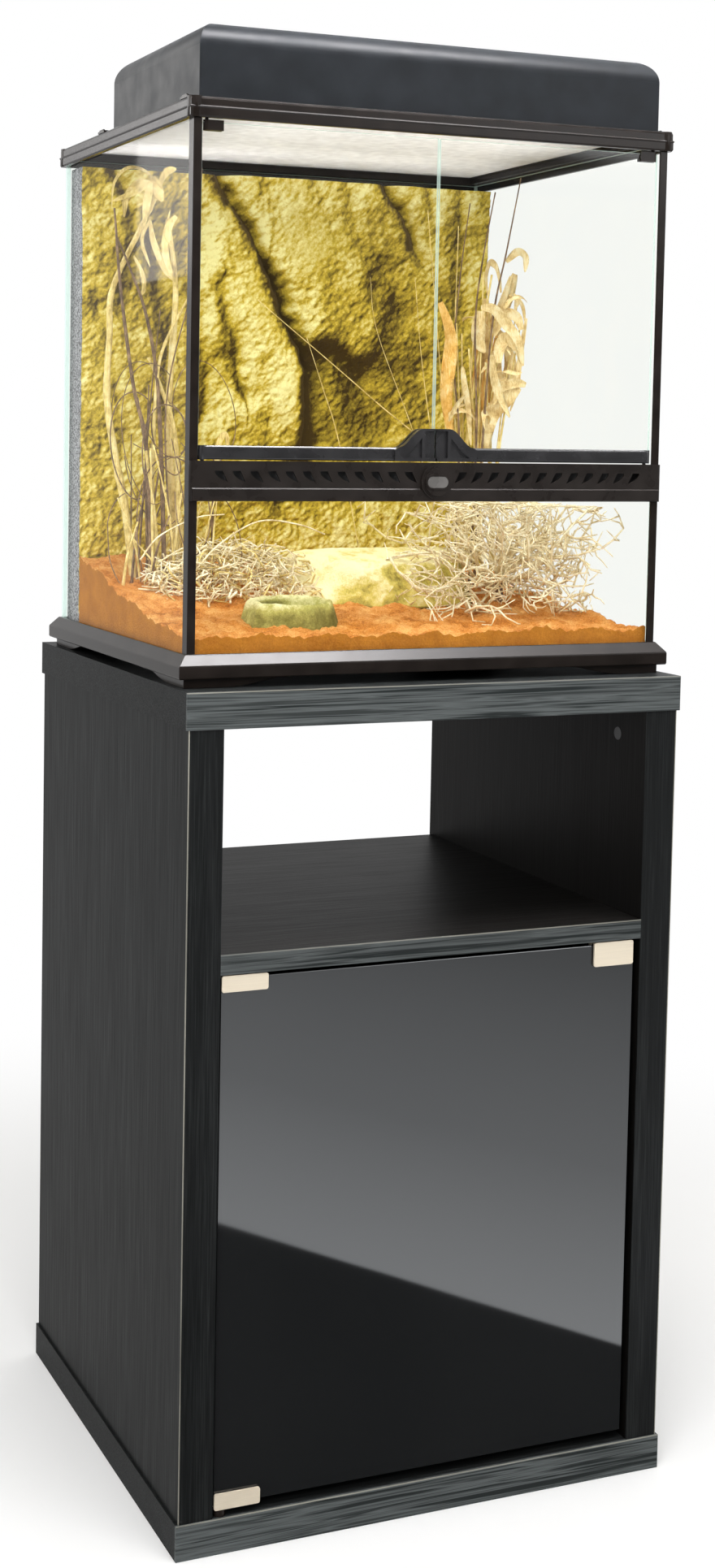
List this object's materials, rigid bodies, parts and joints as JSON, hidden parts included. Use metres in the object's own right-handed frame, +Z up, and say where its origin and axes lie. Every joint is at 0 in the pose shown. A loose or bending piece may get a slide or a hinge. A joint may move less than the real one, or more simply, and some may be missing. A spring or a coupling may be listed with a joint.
{
  "type": "terrarium cabinet",
  "caption": "Glass terrarium with hinged front doors, screen cover and lamp canopy on a black stand cabinet with a smoked glass door and an open shelf.",
  "frame": {"origin": "middle of the cabinet's footprint, on the floor", "axes": "+X to the right and +Y to the back as seen from the front, +Z up"},
  "size_m": [0.61, 0.53, 1.652],
  "materials": {
    "black_ash": "satin",
    "beech": "matte",
    "zinc_steel": "satin",
    "bulb_glass": "gloss",
    "socket_ceramic": "satin",
    "nickel": "satin",
    "soft_rubber": "matte",
    "dark_plastic": "gloss",
    "smoked_glass": "gloss",
    "clear_glass": "gloss",
    "rock": "matte",
    "sand": "matte",
    "dry_plant": "matte",
    "mesh_steel": "satin",
    "canopy_black": "satin",
    "badge": "satin"
  },
  "bodies": {
    "cabinet_and_tank": {"top_board": "black_ash", "bottom_board": "black_ash", "left_side_panel": "black_ash", "right_side_panel": "black_ash", "middle_shelf": "black_ash", "back_panel": "black_ash", "joint_dowels": "beech", "cam_bolts": "zinc_steel", "cam_locks": "zinc_steel", "wall_bumpers": "soft_rubber", "hinge_bushes": "dark_plastic", "latch_housing": "dark_plastic", "latch_screws": "zinc_steel", "base_frame": "dark_plastic", "floor_pane": "clear_glass", "left_pane": "clear_glass", "right_pane": "clear_glass", "back_pane": "clear_glass", "front_window": "clear_glass", "left_corner_post": "dark_plastic", "right_corner_post": "dark_plastic", "vent_bar": "dark_plastic", "vent_mesh": "mesh_steel", "top_frame": "dark_plastic", "rock_background": "rock", "sand_bed": "sand", "cave_rock": "rock", "water_dish": "rock", "left_stalks": "dry_plant", "right_grass": "dry_plant", "left_twig_bush": "dry_plant", "right_twig_bush": "dry_plant"},
    "cabinet_door": {"smoked_glass_door": "smoked_glass", "upper_hinge_clamp": "nickel", "lower_hinge_clamp": "nickel", "clamp_screws": "zinc_steel", "clamp_pads": "soft_rubber", "catch_plate": "nickel"},
    "push_latch_plunger": {"latch_plunger": "dark_plastic"},
    "left_tank_door": {"left_door_glass": "clear_glass", "left_door_rail": "dark_plastic", "left_door_shoe": "dark_plastic"},
    "right_tank_door": {"right_door_glass": "clear_glass", "right_door_rail": "dark_plastic", "right_door_shoe": "dark_plastic"},
    "tank_lock": {"lock_knob": "dark_plastic", "lock_badge": "badge"},
    "screen_cover": {"screen_frame": "dark_plastic", "screen_mesh": "mesh_steel"},
    "canopy": {"canopy_shell": "canopy_black", "canopy_reflector": "zinc_steel", "lamp_sockets": "socket_ceramic", "lamp_bulbs": "bulb_glass", "cord_gland": "dark_plastic"},
    "latch_front_left": {"front_left_latch": "dark_plastic"},
    "latch_rear_left": {"rear_left_latch": "dark_plastic"},
    "latch_front_right": {"front_right_latch": "dark_plastic"},
    "latch_rear_right": {"rear_right_latch": "dark_plastic"}
  },
  "joints": [
    {"name": "cabinet_door_hinge", "type": "hinge", "parent": "cabinet_and_tank", "child": "cabinet_door", "pos_m": [-0.2515, -0.2555, 0.34], "axis": [0, 0, -1], "range_deg": [0, 110]},
    {"name": "push_latch", "type": "slide", "parent": "cabinet_and_tank", "child": "push_latch_plunger", "axis": [0, 1, 0], "range_m": [0, 0.003], "stiffness_N_per_m": 400, "springref_m": -0.002},
    {"name": "left_tank_door_hinge", "type": "hinge", "parent": "cabinet_and_tank", "child": "left_tank_door", "pos_m": [-0.2755, -0.221, 1.37], "axis": [0, 0, -1], "range_deg": [0, 95]},
    {"name": "right_tank_door_hinge", "type": "hinge", "parent": "cabinet_and_tank", "child": "right_tank_door", "pos_m": [0.2755, -0.221, 1.37], "axis": [0, 0, 1], "range_deg": [0, 95]},
    {"name": "tank_lock_turn", "type": "hinge", "parent": "cabinet_and_tank", "child": "tank_lock", "pos_m": [0, -0.22, 1.1665], "axis": [0, -1, 0], "range_deg": [0, 90]},
    {"name": "screen_cover_lift", "type": "slide", "parent": "cabinet_and_tank", "child": "screen_cover", "axis": [0, 0, 1], "range_m": [0, 0.12]},
    {"name": "canopy_lift", "type": "slide", "parent": "screen_cover", "child": "canopy", "axis": [0, 0, 1], "range_m": [0, 0.15]},
    {"name": "front_left_latch_slide", "type": "slide", "parent": "cabinet_and_tank", "child": "latch_front_left", "axis": [1, 0, 0], "range_m": [0, 0.003]},
    {"name": "rear_left_latch_slide", "type": "slide", "parent": "cabinet_and_tank", "child": "latch_rear_left", "axis": [1, 0, 0], "range_m": [0, 0.003]},
    {"name": "front_right_latch_slide", "type": "slide", "parent": "cabinet_and_tank", "child": "latch_front_right", "axis": [-1, 0, 0], "range_m": [0, 0.003]},
    {"name": "rear_right_latch_slide", "type": "slide", "parent": "cabinet_and_tank", "child": "latch_rear_right", "axis": [-1, 0, 0], "range_m": [0, 0.003]}
  ]
}
